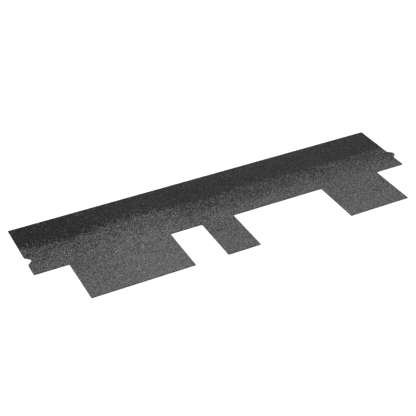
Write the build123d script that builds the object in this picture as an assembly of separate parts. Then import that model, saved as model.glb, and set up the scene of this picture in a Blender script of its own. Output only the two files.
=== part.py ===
from build123d import *
import math
import os

# Asphalt strip shingle: one flat sheet of granule-faced asphalt felt, die cut to shape.
# It lies face up on Z = 0. +X runs along the strip and +Y up the roof, from the tabs' butt edges to the
# plain upper edge. The origin is on the underside, halfway along the laying length and halfway up the width.

# Driving dimensions, in millimetres
HEAD_WIDTH = 185.0  # unbroken band, from the upper edge down to the cut-outs
TAB_DEPTH = 132.0  # how far each tab hangs below the band
SHEET_THICKNESS = 3.0  # felt, asphalt coating and stone granules together

# Widths along the lower edge, in order from the left end to the right end
LEFT_GAP_WIDTH = 83.0
WIDE_TAB_WIDTH = 250.0
NARROW_GAP_WIDTH = 83.0
NARROW_TAB_WIDTH = 84.0
WIDE_GAP_WIDTH = 250.0
MIDDLE_TAB_WIDTH = 167.0
RIGHT_GAP_WIDTH = 83.0

# The tooth in the end cut, which leaves a nib on the right end and its matching notch on the left
TOOTH_REACH = 12.0  # how far the rounded tip stands out from the end line
TOOTH_RISE = 54.0  # height of the tip above the cut-outs
TOOTH_RADIUS = 9.0  # rounding of the tip and of both roots
TOOTH_FLANK_ANGLE = 48.0  # degrees between a flank and the end line

LOWER_EDGE = (
    ("gap", LEFT_GAP_WIDTH),
    ("tab", WIDE_TAB_WIDTH),
    ("gap", NARROW_GAP_WIDTH),
    ("tab", NARROW_TAB_WIDTH),
    ("gap", WIDE_GAP_WIDTH),
    ("tab", MIDDLE_TAB_WIDTH),
    ("gap", RIGHT_GAP_WIDTH),
)

# The lines that the outline is laid out on
SHEET_LENGTH = sum(width for _, width in LOWER_EDGE)
SHEET_WIDTH = HEAD_WIDTH + TAB_DEPTH
LEFT_END = -SHEET_LENGTH / 2
RIGHT_END = SHEET_LENGTH / 2
UPPER_EDGE = SHEET_WIDTH / 2
CUT_OUT_LINE = UPPER_EDGE - HEAD_WIDTH
BUTT_LINE = CUT_OUT_LINE - TAB_DEPTH


def end_cut(end_line):
    """The knife's line across the strip, from the upper edge down to the cut-outs, with its rounded tooth."""
    flank = math.radians(TOOTH_FLANK_ANGLE)
    sharp_reach = TOOTH_REACH + TOOTH_RADIUS * (1 / math.cos(flank) - 1)
    half_base = sharp_reach / math.tan(flank)
    tip_height = CUT_OUT_LINE + TOOTH_RISE
    return FilletPolyline(
        (end_line, UPPER_EDGE),
        (end_line, tip_height + half_base),
        (end_line + sharp_reach, tip_height),
        (end_line, tip_height - half_base),
        (end_line, CUT_OUT_LINE),
        radius=TOOTH_RADIUS,
    )


def stepped_edge():
    """The lower edge from the left end to the right end, stepping down and back up round each tab."""
    corners = [(LEFT_END, CUT_OUT_LINE)]
    left = LEFT_END
    for kind, width in LOWER_EDGE:
        right = left + width
        if kind == "tab":
            corners += [(left, CUT_OUT_LINE), (left, BUTT_LINE), (right, BUTT_LINE), (right, CUT_OUT_LINE)]
        left = right
    corners.append((RIGHT_END, CUT_OUT_LINE))
    return Polyline(*corners)


def shingle():
    """The whole sheet: the die-cut outline at its full thickness, resting on Z = 0."""
    upper_edge = Line((LEFT_END, UPPER_EDGE), (RIGHT_END, UPPER_EDGE))
    rim = upper_edge + end_cut(LEFT_END) + stepped_edge() + end_cut(RIGHT_END)
    return extrude(make_face(rim.edges()), amount=SHEET_THICKNESS, dir=(0, 0, 1))


os.makedirs("parts", exist_ok=True)
sheet = shingle()
export_step(sheet, "parts/shingle.step")
print(f"shingle: {SHEET_LENGTH:.0f} x {SHEET_WIDTH:.0f} x {SHEET_THICKNESS:.0f} mm, {sheet.volume:.0f} mm3")
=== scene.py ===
# %% [markdown]
# The object is one asphalt strip shingle: a flat sheet of felt soaked in asphalt, with crushed stone
# granules pressed into its upper face and its lower edge die cut into square tabs. The imported CAD model
# gives the outline and the thickness, in metres, and everything below is fitted to it. The box that the
# CAD model fills is kept.

# %% Load the imported model
import math

import bmesh
import bpy
import numpy as np
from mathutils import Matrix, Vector
from mathutils.bvhtree import BVHTree


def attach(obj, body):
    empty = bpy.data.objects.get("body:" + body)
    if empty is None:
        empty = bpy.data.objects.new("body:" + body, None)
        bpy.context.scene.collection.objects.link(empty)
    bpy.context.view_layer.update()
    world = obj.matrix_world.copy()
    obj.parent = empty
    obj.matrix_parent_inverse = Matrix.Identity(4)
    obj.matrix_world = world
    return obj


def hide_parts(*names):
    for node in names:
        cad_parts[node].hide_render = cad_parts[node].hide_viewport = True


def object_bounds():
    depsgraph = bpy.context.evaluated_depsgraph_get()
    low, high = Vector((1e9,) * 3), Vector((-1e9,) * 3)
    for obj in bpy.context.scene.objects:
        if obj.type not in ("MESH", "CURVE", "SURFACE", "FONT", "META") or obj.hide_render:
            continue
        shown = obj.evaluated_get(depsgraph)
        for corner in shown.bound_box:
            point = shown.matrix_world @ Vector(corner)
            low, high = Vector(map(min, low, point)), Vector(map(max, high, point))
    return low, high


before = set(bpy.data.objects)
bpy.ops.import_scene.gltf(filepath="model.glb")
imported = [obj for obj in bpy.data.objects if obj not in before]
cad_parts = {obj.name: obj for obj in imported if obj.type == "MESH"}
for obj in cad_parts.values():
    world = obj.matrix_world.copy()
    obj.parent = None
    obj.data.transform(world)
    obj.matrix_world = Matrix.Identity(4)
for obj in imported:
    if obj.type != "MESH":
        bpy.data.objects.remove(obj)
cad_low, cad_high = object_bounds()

MM = 0.001
print("CAD box in mm:", [round(side / MM, 1) for side in cad_high - cad_low])

# %% [markdown]
# The camera stands where the photograph was taken from. Its angle, distance and lens were worked out from
# the corners of the sheet, whose real places are known, so they are named numbers and not guesses by eye.
# A Track To constraint could aim it, but an azimuth and an elevation round the point that the picture's
# middle falls on give its place and its turn at once, and keep the horizon level.

# %% Camera
IMAGE_SIDE_PX = 416
FOCAL_LENGTH_PX = 975.0
SENSOR_WIDTH_MM = 36.0
CAMERA_AZIMUTH = math.radians(-27.46)
CAMERA_ELEVATION = math.radians(34.47)
CAMERA_DISTANCE = 2.363
AIM_POINT = Vector((-0.0390, 0.0298, 0.0))


def photo_camera():
    """The camera at the photograph's place, looking down on the sheet from its left."""
    lens = bpy.data.cameras.new("photo_camera")
    lens.sensor_width = SENSOR_WIDTH_MM
    lens.lens = SENSOR_WIDTH_MM * FOCAL_LENGTH_PX / IMAGE_SIDE_PX
    camera = bpy.data.objects.new("photo_camera", lens)
    bpy.context.scene.collection.objects.link(camera)
    level = math.cos(CAMERA_ELEVATION)
    back = Vector((
        math.sin(CAMERA_AZIMUTH) * level,
        -math.cos(CAMERA_AZIMUTH) * level,
        math.sin(CAMERA_ELEVATION),
    ))
    camera.location = AIM_POINT + back * CAMERA_DISTANCE
    camera.rotation_euler = (math.pi / 2 - CAMERA_ELEVATION, 0.0, CAMERA_AZIMUTH)
    return camera


bpy.context.scene.camera = photo_camera()
print("camera at", [round(v, 3) for v in bpy.context.scene.camera.location])

# %% [markdown]
# Nodes could be added and linked one at a time, but even a short sum then takes a dozen lines. This class
# wraps one output of a shader node, so that shader maths reads as ordinary sums. A sum, difference or
# product of wires and numbers adds the Math node that works it out, and every other kind of node comes
# from the node method, which sets the node's settings first and then its input sockets. Everything on
# this sheet is a neutral grey, so colours are mixed by one method that takes two greys.

# %% Wires for shader maths
class Wire:
    """An output socket in a shader tree, or just the tree where a wire begins."""

    def __init__(self, tree, socket=None):
        self.tree = tree
        self.socket = socket

    def node(self, kind, settings=None, inputs=None, output=0):
        """Adds a node and returns the wire of one of its outputs, if it has any."""
        made = self.tree.nodes.new(kind)
        for name, value in (settings or {}).items():
            setattr(made, name, value)
        for name, value in (inputs or {}).items():
            if isinstance(value, Wire):
                self.tree.links.new(value.socket, made.inputs[name])
            else:
                made.inputs[name].default_value = value
        return Wire(self.tree, made.outputs[output] if made.outputs else None)

    def maths(self, operation, first, second):
        """A Math node on two wires or numbers."""
        return self.node("ShaderNodeMath", {"operation": operation}, {0: first, 1: second})

    def __add__(self, other):
        return self.maths("ADD", self, other)

    def __radd__(self, other):
        return self.maths("ADD", other, self)

    def __sub__(self, other):
        return self.maths("SUBTRACT", self, other)

    def __rsub__(self, other):
        return self.maths("SUBTRACT", other, self)

    def __mul__(self, other):
        return self.maths("MULTIPLY", self, other)

    def __rmul__(self, other):
        return self.maths("MULTIPLY", other, self)

    def shade(self, dark, light):
        """A colour between two greys, by this wire's value from 0 to 1."""
        factor, first_colour, second_colour, mixed_colour = 0, 6, 7, 2
        inputs = {factor: self, first_colour: grey(dark), second_colour: grey(light)}
        return self.node("ShaderNodeMix", {"data_type": "RGBA"}, inputs, output=mixed_colour)


def grey(value):
    """A neutral colour, opaque."""
    return (value, value, value, 1.0)


print("shader sums ready")

# %% [markdown]
# Every material begins as an empty tree and ends in one Principled shader. A value that is the same all
# over is set on the shader's own socket and a wire is linked to it, so one call does both.

# %% Beginning and closing a material
def new_finish(name):
    """An empty material. Returns it with the wire that its nodes begin from."""
    finish = bpy.data.materials.new(name)
    finish.use_nodes = True
    finish.node_tree.nodes.clear()
    return finish, Wire(finish.node_tree)


def close_finish(start, **inputs):
    """Ends a material with its Principled shader, its sockets named with underscores, and its output."""
    sockets = {name.replace("_", " "): value for name, value in inputs.items()}
    shader = start.node("ShaderNodeBsdfPrincipled", None, sockets)
    start.node("ShaderNodeOutputMaterial", None, {"Surface": shader})


print("material helpers ready")

# %% [markdown]
# The floor is plain and white. It lies a hair below the sheet, because two faces at one height would
# flicker into each other. A backdrop that curves up behind could hide the horizon, but a floor as white
# as the sky hides it with one face.

# %% Floor
FLOOR_SIDE = 14.0
FLOOR_GAP = 0.2 * MM
FLOOR_GREY = 0.98
FLOOR_ROUGHNESS = 0.9


def white_floor():
    """A plain square of floor."""
    bm = bmesh.new()
    bmesh.ops.create_grid(bm, x_segments=1, y_segments=1, size=FLOOR_SIDE / 2)
    bmesh.ops.translate(bm, verts=bm.verts, vec=(0.0, 0.0, cad_low.z - FLOOR_GAP))
    mesh = bpy.data.meshes.new("studio_floor")
    bm.to_mesh(mesh)
    bm.free()
    finish, start = new_finish("floor_paint")
    close_finish(start, Base_Color=grey(FLOOR_GREY), Roughness=FLOOR_ROUGHNESS)
    mesh.materials.append(finish)
    floor = bpy.data.objects.new("studio_floor", mesh)
    bpy.context.scene.collection.objects.link(floor)
    return floor


floor = white_floor()
print("floor:", [round(side, 1) for side in floor.dimensions], "m")

# %% [markdown]
# The light is a white sky, even from all round, with one large soft lamp overhead, so the sheet has
# almost no shadow, as in the photograph. A small lamp or a sun would bring the granules out more, but
# would also draw a dark line along every edge. The Standard view transform keeps the greys true.

# %% Sky and lamp
SKY_STRENGTH = 1.0
LAMP_SIDE = 3.0
LAMP_POWER = 50.0
LAMP_PLACE = Vector((-0.9, -0.3, 3.0))


def white_sky():
    """Even light from all round."""
    world = bpy.data.worlds.new("studio_sky")
    world.use_nodes = True
    background = world.node_tree.nodes["Background"]
    background.inputs["Color"].default_value = grey(1.0)
    background.inputs["Strength"].default_value = SKY_STRENGTH
    bpy.context.scene.world = world


def soft_lamp():
    """A large square lamp overhead, facing the sheet's middle."""
    data = bpy.data.lights.new("overhead_lamp", "AREA")
    data.size = LAMP_SIDE
    data.energy = LAMP_POWER
    lamp = bpy.data.objects.new("overhead_lamp", data)
    bpy.context.scene.collection.objects.link(lamp)
    lamp.location = LAMP_PLACE
    lamp.rotation_euler = (-LAMP_PLACE).to_track_quat("-Z", "Y").to_euler()


white_sky()
soft_lamp()
bpy.context.scene.view_settings.view_transform = "Standard"
print("light: a sky and", len(bpy.data.lights), "lamp")

# %% [markdown]
# Under the granules is the asphalt sheet itself. Its outline is already right in the CAD model, so a copy
# of that mesh is merged and its flat faces are joined, the top is lowered by the height that the granules
# stand, and the rims are rounded a little, as a knife leaves soft asphalt. Tracing the outline again
# would only repeat the numbers that the CAD model holds.

# %% Asphalt sheet
GRANULE_STAND = 0.70 * MM
RIM_ROUND = 0.35 * MM
RIM_SEGMENTS = 2
MERGE_DISTANCE = 0.001 * MM
FLAT_ANGLE = math.radians(1.0)
FLAT_NORMAL = 0.9
TOP_SLOT, EDGE_SLOT, BACK_SLOT = range(3)


def flat_faces(bm, up):
    """The faces that look straight up, where up is 1, or straight down, where it is -1."""
    bm.normal_update()
    return [face for face in bm.faces if face.normal.z * up > FLAT_NORMAL]


def asphalt_sheet():
    """The sheet below its granules, with a material slot each for the top, the cut edge and the back."""
    bm = bmesh.new()
    bm.from_mesh(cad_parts["shingle"].data)
    bmesh.ops.remove_doubles(bm, verts=bm.verts, dist=MERGE_DISTANCE)
    bmesh.ops.dissolve_limit(bm, angle_limit=FLAT_ANGLE, verts=bm.verts, edges=bm.edges)
    top_corners = {corner for face in flat_faces(bm, 1) for corner in face.verts}
    bmesh.ops.translate(bm, verts=list(top_corners), vec=(0.0, 0.0, -GRANULE_STAND))
    rims = {edge for up in (1, -1) for face in flat_faces(bm, up) for edge in face.edges}
    bmesh.ops.bevel(
        bm,
        geom=list(rims),
        offset=RIM_ROUND,
        affect="EDGES",
        segments=RIM_SEGMENTS,
        profile=0.5,
        material=-1,
    )
    for face in bm.faces:
        face.material_index = EDGE_SLOT
    for face in flat_faces(bm, 1):
        face.material_index = TOP_SLOT
    for face in flat_faces(bm, -1):
        face.material_index = BACK_SLOT
    mesh = bpy.data.meshes.new("asphalt_sheet")
    bm.to_mesh(mesh)
    bm.free()
    sheet = bpy.data.objects.new("asphalt_sheet", mesh)
    bpy.context.scene.collection.objects.link(sheet)
    return sheet


sheet = asphalt_sheet()
print("asphalt sheet:", len(sheet.data.polygons), "faces")

# %% [markdown]
# The coat that shows between the granules is black asphalt, dulled by the dust of the crushed stone. It
# could be one flat black, but a real coat is pitted and its tone drifts, so two sizes of noise do both.
# The pattern reads the sheet's own coordinates, in metres, so it stays with the sheet from every side.

# %% Coat under the granules
COAT_PIT_SIZE = 0.8 * MM
COAT_PIT_DEPTH = 0.1 * MM
COAT_PATCH_SIZE = 12.0 * MM
COAT_DARK = 0.010
COAT_LIGHT = 0.018
COAT_ROUGHNESS = 0.95
COAT_PIT_GLOSS = 0.2
DULL_SPECULAR = 0.1


def sheet_place(start):
    """The sheet's own coordinates, in metres."""
    return start.node("ShaderNodeTexCoord", output="Object")


def noise(start, place, size, detail=2.0):
    """Smooth random values from 0 to 1, in patches of about that size in metres."""
    inputs = {"Vector": place, "Scale": 1.0 / size, "Detail": detail}
    return start.node("ShaderNodeTexNoise", None, inputs, output="Fac")


def bumps(start, height, depth):
    """A bumped normal, from heights of 0 to 1 times that depth in metres."""
    return start.node("ShaderNodeBump", None, {"Height": height, "Distance": depth, "Strength": 1.0})


def asphalt_coat():
    """Dull black asphalt, pitted and a little uneven in tone."""
    finish, start = new_finish("asphalt_coat")
    place = sheet_place(start)
    pitted = noise(start, place, COAT_PIT_SIZE)
    close_finish(
        start,
        Base_Color=noise(start, place, COAT_PATCH_SIZE).shade(COAT_DARK, COAT_LIGHT),
        Roughness=COAT_ROUGHNESS - COAT_PIT_GLOSS * pitted,
        Specular_IOR_Level=DULL_SPECULAR,
        Normal=bumps(start, pitted, COAT_PIT_DEPTH),
    )
    return finish


sheet.data.materials.append(asphalt_coat())
print("top of the sheet:", sheet.data.materials[TOP_SLOT].name)

# %% [markdown]
# The die tears the sheet as much as it cuts it, so the cut edge is rough black asphalt with pale flecks
# of its mineral filler. Modelled tears would take thousands of faces on a wall three millimetres high, so
# they are a bump. The flecks are the peaks of a fine noise: a Map Range node turns the little that is
# above a level into spots and all the rest into plain asphalt.

# %% Cut edge
TEAR_SIZE = 0.9 * MM
TEAR_DEPTH = 0.25 * MM
TEAR_DETAIL = 4.0
TEAR_GLOSS = 0.2
FLECK_SIZE = 0.6 * MM
FLECK_STARTS = 0.54
FLECK_FULL = 0.66
EDGE_DARK = 0.013
EDGE_FLECK = 0.10
EDGE_ROUGHNESS = 0.9


def cut_edge():
    """Torn asphalt with flecks of filler."""
    finish, start = new_finish("cut_edge")
    place = sheet_place(start)
    torn = noise(start, place, TEAR_SIZE, TEAR_DETAIL)
    speckle = noise(start, place, FLECK_SIZE)
    level = {"Value": speckle, "From Min": FLECK_STARTS, "From Max": FLECK_FULL}
    close_finish(
        start,
        Base_Color=start.node("ShaderNodeMapRange", None, level).shade(EDGE_DARK, EDGE_FLECK),
        Roughness=EDGE_ROUGHNESS - TEAR_GLOSS * torn,
        Normal=bumps(start, torn, TEAR_DEPTH),
    )
    return finish


sheet.data.materials.append(cut_edge())
print("cut edge:", sheet.data.materials[EDGE_SLOT].name)

# %% [markdown]
# The back is dusted with fine sand at the mill, so that strips don't stick together in their pack. A
# noise alone would look like cloud and not like grains, so each grain is one cell of a Voronoi texture
# with a random colour, of which only the red is read, as the grain's own lightness and height. A broad
# noise makes the dusting thicker in some places than in others.

# %% Sanded back
SAND_GRAIN_SIZE = 0.7 * MM
SAND_DEPTH = 0.12 * MM
SAND_WEIGHT = 0.6
DUSTING_SIZE = 30.0 * MM
DUSTING_DETAIL = 4.0
DUSTING_GLOSS = 0.1
BACK_DARK = 0.05
BACK_LIGHT = 0.22
BACK_ROUGHNESS = 0.95


def sanded_back():
    """Fine sand on asphalt, thicker in some places."""
    finish, start = new_finish("sanded_back")
    place = sheet_place(start)
    cells = {"Vector": place, "Scale": 1.0 / SAND_GRAIN_SIZE}
    cell_colour = start.node("ShaderNodeTexVoronoi", None, cells, output="Color")
    grain = start.node("ShaderNodeSeparateColor", None, {"Color": cell_colour}, output="Red")
    dusting = noise(start, place, DUSTING_SIZE, DUSTING_DETAIL)
    cover = SAND_WEIGHT * grain + (1 - SAND_WEIGHT) * dusting
    close_finish(
        start,
        Base_Color=cover.shade(BACK_DARK, BACK_LIGHT),
        Roughness=BACK_ROUGHNESS - DUSTING_GLOSS * dusting,
        Normal=bumps(start, grain, SAND_DEPTH),
    )
    return finish


sheet.data.materials.append(sanded_back())
print("back:", sheet.data.materials[BACK_SLOT].name)

# %% [markdown]
# The granules are real chips of stone here, because at a low angle they give the face its rough outline
# and its play of lit and shaded facets, which a bump in a material can't. They could be scattered by
# Geometry Nodes, but arrays of numbers make it plain which chip gets what. They lie on a hexagonal grid
# that is shaken until no rows show, wherever a ray cast straight down meets the top of the CAD model.

# %% Where the granules lie
GRANULE_SEED = 11
GRANULE_PITCH = 1.56 * MM
GRANULE_SHAKE = 0.34
RAY_START = 1.0
DOWN = Vector((0.0, 0.0, -1.0))


def cad_faces(lowest, highest):
    """The CAD faces whose normals have a Z in that range, as a tree for casting rays and measuring."""
    bm = bmesh.new()
    bm.from_mesh(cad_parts["shingle"].data)
    unwanted = [face for face in bm.faces if not lowest <= face.normal.z <= highest]
    bmesh.ops.delete(bm, geom=unwanted, context="FACES")
    tree = BVHTree.FromBMesh(bm)
    bm.free()
    return tree


top_face = cad_faces(FLAT_NORMAL, 1.0)


def on_sheet(x, y):
    """Whether that place lies inside the die-cut outline."""
    return top_face.ray_cast(Vector((x, y, RAY_START)), DOWN)[0] is not None


def granule_places(draw):
    """The middle of each granule, as X and Y on the sheet."""
    across = np.arange(cad_low.x, cad_high.x, GRANULE_PITCH)
    along = np.arange(cad_low.y, cad_high.y, GRANULE_PITCH * math.sqrt(3) / 2)
    x, y = np.meshgrid(across, along)
    x[1::2] += GRANULE_PITCH / 2
    places = np.stack([x.ravel(), y.ravel()], axis=1)
    places += GRANULE_PITCH * GRANULE_SHAKE * draw.uniform(-1, 1, places.shape)
    return places[[on_sheet(*place) for place in places]]


draw = np.random.default_rng(GRANULE_SEED)
places = granule_places(draw)
print("granules:", len(places))

# %% [markdown]
# Granules don't fall evenly: they clump, and the edge of a drop wanders. Both need random values that
# change smoothly from place to place. Blender's noise works inside a material, and here the values are
# needed in Python, so this function gives each corner of a grid a random number and blends between them.

# %% Smooth random patches
WANDER_SIZE = 60.0 * MM
CLUMP_SIZE = 4.5 * MM


def mottle(points, patch, draw):
    """Smooth random values from 0 to 1 over the sheet, in patches of that size."""
    cell = (points - points.min(axis=0)) / patch
    corner = cell.astype(int)
    grid = draw.random(corner.max(axis=0) + 2)
    part = cell - corner
    smooth = part * part * (3 - 2 * part)
    (i, j), (u, v) = corner.T, smooth.T
    low = grid[i, j] * (1 - u) + grid[i + 1, j] * u
    high = grid[i, j + 1] * (1 - u) + grid[i + 1, j + 1] * u
    return low * (1 - v) + high * v


wander = mottle(places, WANDER_SIZE, draw)
clumps = mottle(places, CLUMP_SIZE, draw)
for name, field in (("wander", wander), ("clumps", clumps)):
    print(name, "from", round(field.min(), 2), "to", round(field.max(), 2))

# %% [markdown]
# A strip gets two drops of granules at the mill: a dark one for the band that the next course covers, and
# a grey blend for the part that shows on the roof. One straight blend between them would be simpler, but
# the grey drop begins in the middle of the band, stays thin for a hand's breadth, and thickens towards
# the tabs. Its edge wanders a little, and it isn't quite even along the strip either: one stretch got it
# early, and towards the right end it runs thinner past the dark band. So the share of grey granules is a
# table by the distance from the upper edge, with a column for each end.

# %% Share of grey granules
GREY_SHARES = np.array([
    # mm from the upper edge, share at the left, share at the right
    (0, 0.05, 0.05),
    (40, 0.00, 0.00),
    (70, 0.02, 0.00),
    (84, 0.13, 0.02),
    (100, 0.48, 0.31),
    (120, 0.53, 0.33),
    (145, 0.66, 0.57),
    (170, 0.82, 0.81),
    (200, 0.84, 0.83),
    (290, 1.00, 0.98),
])
THINNER_FROM = 340.0 * MM
THINNER_PAST = 420.0 * MM
WANDER_REACH = 6.0 * MM
LIGHT_RUN_ALONG = np.array([140.0, 210.0, 335.0, 410.0]) * MM
LIGHT_RUN_EARLY = 6.0 * MM


def rise_along(points, start, end):
    """0 up to one distance from the left end, 1 past another, and a straight rise between them."""
    return np.interp(points[:, 0] - cad_low.x, [start, end], [0.0, 1.0])


def light_run(points):
    """1 along the stretch where the grey drop ran a little light and early, falling to 0 past its ends."""
    return np.interp(points[:, 0] - cad_low.x, LIGHT_RUN_ALONG, [0.0, 1.0, 1.0, 0.0])


def grey_share(points, wander):
    """The share of grey granules at each place, from the band's dark to the tabs' full blend."""
    depth = cad_high.y - points[:, 1]
    depth = depth + WANDER_REACH * (2 * wander - 1)
    depth = depth + LIGHT_RUN_EARLY * light_run(points)
    distance, at_left, at_right = GREY_SHARES.T
    left = np.interp(depth / MM, distance, at_left)
    right = np.interp(depth / MM, distance, at_right)
    return left + (right - left) * rise_along(points, THINNER_FROM, THINNER_PAST)


share = grey_share(places, wander)
print("grey granules:", round(100 * share.mean()), "percent of all")

# %% [markdown]
# Each drop is a blend of glazed colours, and a granule draws its colour from one drop or the other. Any
# grey at random would do from afar, but a mill mixes a few fired colours, and a few colours make few
# pieces. The dark drop turns a shade lighter towards the right end, which is painted sheen: lighter chips
# stand in for the sheen that the light lays on the far end of the dark band. Clumps come from mixing a
# smooth random field into the draw, and ranking the result keeps the shares as they are set.

# %% Which colour goes where
GRANULE_COLOURS = ("pitch", "jet", "black", "iron", "charcoal", "slate", "stone", "ash", "silver")
DARK_DROP_LEFT = np.array([0.37, 0.31, 0.19, 0.05, 0.07, 0.01, 0.00, 0.00, 0.00])
# painted sheen: the right end's dark blend has fewer pitch and jet chips, so the dark band lightens there
# as under a sheen
DARK_DROP_RIGHT_WITH_PAINTED_SHEEN = np.array([0.05, 0.18, 0.32, 0.21, 0.22, 0.02, 0.00, 0.00, 0.00])
GREY_DROP = np.array([0.00, 0.00, 0.00, 0.01, 0.09, 0.34, 0.29, 0.19, 0.08])
PAINTED_SHEEN_FROM = 80.0 * MM
PAINTED_SHEEN_PAST = 600.0 * MM
CLUMP_WEIGHT = 0.28


def granule_colours(points, share, clumps, draw):
    """A number for each granule, its place in GRANULE_COLOURS."""
    lot = CLUMP_WEIGHT * clumps + (1 - CLUMP_WEIGHT) * draw.random(len(points))
    lot = lot.argsort().argsort() / len(points)
    is_grey = lot < share
    # painted sheen: the dark drop turns to its lighter right-end blend along the strip
    lighter = rise_along(points, PAINTED_SHEEN_FROM, PAINTED_SHEEN_PAST)[:, None]
    dark_drop_and_sheen = DARK_DROP_LEFT + (DARK_DROP_RIGHT_WITH_PAINTED_SHEEN - DARK_DROP_LEFT) * lighter
    drop = np.where(is_grey[:, None], GREY_DROP, dark_drop_and_sheen)
    pick = draw.random((len(points), 1))
    # a granule takes the first colour whose running share is past its pick
    return (pick > np.cumsum(drop[:, :-1], axis=1)).sum(axis=1)


colours = granule_colours(places, share, clumps, draw)
print({name: int((colours == k).sum()) for k, name in enumerate(GRANULE_COLOURS)})

# %% [markdown]
# A chip could be a cube, but square faces look sawn, or an icosphere, but twenty faces are too many for a
# hundred thousand chips. An octahedron has eight, enough for the broken facets of crushed stone, and a UV
# sphere of four segments and two rings is one.

# %% One plain chip
def octahedron():
    """Corners and faces of one plain chip of radius 1."""
    bm = bmesh.new()
    bmesh.ops.create_uvsphere(bm, u_segments=4, v_segments=2, radius=1.0)
    bm.verts.index_update()
    corners = np.array([corner.co for corner in bm.verts])
    faces = np.array([[corner.index for corner in face.verts] for face in bm.faces])
    bm.free()
    return corners, faces


plain_corners, plain_faces = octahedron()
print("one chip:", len(plain_corners), "corners and", len(plain_faces), "faces")

# %% [markdown]
# Every copy of the chip gets its corners shaken and its own size, and then a turn and a tilt, so no two
# are alike. The chips could be turned one by one with matrices, but one formula on whole arrays turns
# them all at once. They sit half sunk in the coat, and the press rolls of the mill leave none above the
# sheet's thickness.

# %% Chips on the sheet
CHIP_RADIUS = 1.19 * MM
CHIP_SIZES = (0.75, 1.2)
CHIP_SHAPE = np.array([1.0, 0.82, 0.62])
CHIP_UNEVEN = 0.2
CHIP_TILT = math.radians(24)


def turned(corners, spin, tilt):
    """Each chip's corners, tilted about X and then spun about Z by its own angles."""
    x, y, z = np.moveaxis(corners, 2, 0)
    cos_tilt, sin_tilt = np.cos(tilt)[:, None], np.sin(tilt)[:, None]
    y, z = y * cos_tilt - z * sin_tilt, y * sin_tilt + z * cos_tilt
    cos_spin, sin_spin = np.cos(spin)[:, None], np.sin(spin)[:, None]
    x, y = x * cos_spin - y * sin_spin, x * sin_spin + y * cos_spin
    return np.stack([x, y, z], axis=2)


def pressed_chips(points, draw):
    """The corners of one chip at each point, as an array of points by corners by X, Y and Z."""
    count = len(points)
    corners = plain_corners * (1 + CHIP_UNEVEN * draw.uniform(-1, 1, (count, *plain_corners.shape)))
    # a first turn, so that the stretch to CHIP_SHAPE falls on other corners in each chip
    corners = turned(corners, draw.uniform(0, 2 * math.pi, count), np.zeros(count))
    corners = corners * CHIP_SHAPE * CHIP_RADIUS * draw.uniform(*CHIP_SIZES, (count, 1, 1))
    corners = turned(corners, draw.uniform(0, 2 * math.pi, count), draw.normal(0, CHIP_TILT, count))
    corners[:, :, :2] += points[:, None, :]
    corners[:, :, 2] += cad_high.z - GRANULE_STAND
    corners[:, :, 2] = np.minimum(corners[:, :, 2], cad_high.z)
    return corners


chips = pressed_chips(places, draw)
print("chips lie", np.round((cad_high.z - chips[:, :, 2].min()) / MM, 2), "mm deep at most")

# %% [markdown]
# The knife cuts through the chips that lie across the rim. Cutting the meshes with planes would leave
# them open, so a chip's corners that stand out past the rim are moved back to it instead. A corner is
# only tested where the wall is near, because most chips are nowhere near it.

# %% Chips cut at the rim
WALL_NORMAL = 0.1
CHIP_REACH = CHIP_RADIUS * CHIP_SIZES[1] * (1 + CHIP_UNEVEN)
FLUSH_GAP = 0.03 * MM
HALF_WAY_UP = (cad_low.z + cad_high.z) / 2

cut_wall = cad_faces(-WALL_NORMAL, WALL_NORMAL)


def cut_flush(chips, points):
    """Moves the corners that stand out past the rim back to it, a hair inside, and counts them."""
    moved = 0
    for chip, (x, y) in zip(chips, points):
        if cut_wall.find_nearest(Vector((x, y, HALF_WAY_UP)), CHIP_REACH)[0] is None:
            continue
        for corner in chip:
            if not on_sheet(*corner[:2]):
                rim, outward, _, _ = cut_wall.find_nearest(Vector((*corner[:2], HALF_WAY_UP)))
                corner[:2] = (rim - outward * FLUSH_GAP)[:2]
                moved += 1
    return moved


print("corners cut at the rim:", cut_flush(chips, places))

# %% [markdown]
# All chips of a colour are joined in one mesh, which is far lighter than thousands of objects, and each
# such mesh stays under 200,000 triangles. Two things tell its chips apart. An attribute holds how light a
# chip is in its own colour, and a map gives it a small square of its own, for when the finish is painted
# into a picture: unwrapping by angle would leave most chips no room.

# %% Granule pieces
LIGHT_RUN_GAIN = 0.34
SQUARE_FILL = 0.36


def chip_tones(points, draw):
    """How light each chip is in its own colour, from 0 to 1, and lighter along a part of the strip."""
    return (1 - LIGHT_RUN_GAIN) * draw.random(len(points)) + LIGHT_RUN_GAIN * light_run(points)


def chip_squares(count):
    """Where each chip's corners lie in the map, round the middle of a square of the chip's own."""
    side = math.ceil(math.sqrt(count))
    square = np.stack(np.divmod(np.arange(count), side), axis=1)
    return (square[:, None, :] + 0.5 + SQUARE_FILL * plain_corners[None, :, :2]) / side


def granule_piece(name, chips, tones):
    """All granules of one colour as one mesh."""
    faces = plain_faces + len(plain_corners) * np.arange(len(chips))[:, None, None]
    mesh = bpy.data.meshes.new(name)
    mesh.from_pydata(chips.reshape(-1, 3), [], faces.reshape(-1, 3))
    tone = mesh.attributes.new("tone", "FLOAT", "POINT")
    tone.data.foreach_set("value", np.repeat(tones, len(plain_corners)).astype(np.float32))
    spots = chip_squares(len(chips)).reshape(-1, 2)[faces.ravel()]
    mesh.uv_layers.new(name="OFBake").uv.foreach_set("vector", spots.astype(np.float32).ravel())
    piece = bpy.data.objects.new(name, mesh)
    bpy.context.scene.collection.objects.link(piece)
    return piece


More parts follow.
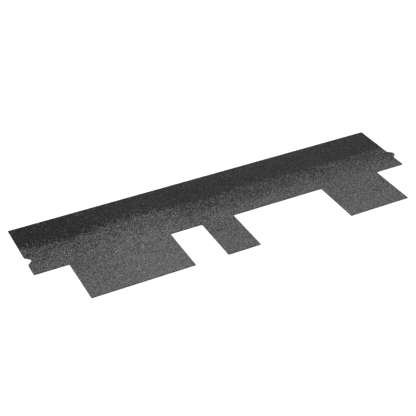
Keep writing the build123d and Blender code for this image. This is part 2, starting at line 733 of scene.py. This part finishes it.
tones = chip_tones(places, draw)
granules = []
for number, name in enumerate(GRANULE_COLOURS):
    chosen = colours == number
    granules.append(granule_piece(f"granules_{name}", chips[chosen], tones[chosen]))
    print(granules[-1].name, len(granules[-1].data.polygons), "triangles")

# %% [markdown]
# Each granule colour is a glaze fired onto crushed stone. One material could find its grey in an
# attribute, but a material for each colour keeps the tree short and can be changed by itself. The glaze
# is matt and neutral grey, lighter on one chip than on the next, and a little mottled on each. How light
# a chip is comes from the tone that its mesh carries, so it holds all round the chip.

# %% Granule finishes
GLAZE_GREY = {
    "pitch": 0.013,
    "jet": 0.019,
    "black": 0.032,
    "iron": 0.048,
    "charcoal": 0.069,
    "slate": 0.108,
    "stone": 0.138,
    "ash": 0.172,
    "silver": 0.290,
}
GLAZE_SPREAD = 0.25
GLAZE_MOTTLE_SIZE = 0.6 * MM
GLAZE_TONE_WEIGHT = 0.7
GLAZE_ROUGHNESS = 0.9
GLAZE_GLOSS = 0.25


def granule_glaze(name):
    """A matt neutral glaze, around that colour's own grey."""
    finish, start = new_finish(f"{name}_glaze")
    tone = start.node("ShaderNodeAttribute", {"attribute_name": "tone"}, output="Fac")
    mottled = noise(start, sheet_place(start), GLAZE_MOTTLE_SIZE)
    lightness = GLAZE_TONE_WEIGHT * tone + (1 - GLAZE_TONE_WEIGHT) * mottled
    dark, light = (GLAZE_GREY[name] * (1 + spread) for spread in (-GLAZE_SPREAD, GLAZE_SPREAD))
    close_finish(
        start,
        Base_Color=lightness.shade(dark, light),
        Roughness=GLAZE_ROUGHNESS - GLAZE_GLOSS * tone,
        Specular_IOR_Level=DULL_SPECULAR,
    )
    return finish


for name, piece in zip(GRANULE_COLOURS, granules):
    piece.data.materials.append(granule_glaze(name))
print("glazes:", [piece.data.materials[0].name for piece in granules])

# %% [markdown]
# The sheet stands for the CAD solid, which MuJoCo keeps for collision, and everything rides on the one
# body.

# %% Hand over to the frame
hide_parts("shingle")
for piece in (sheet, *granules):
    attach(piece, "root")
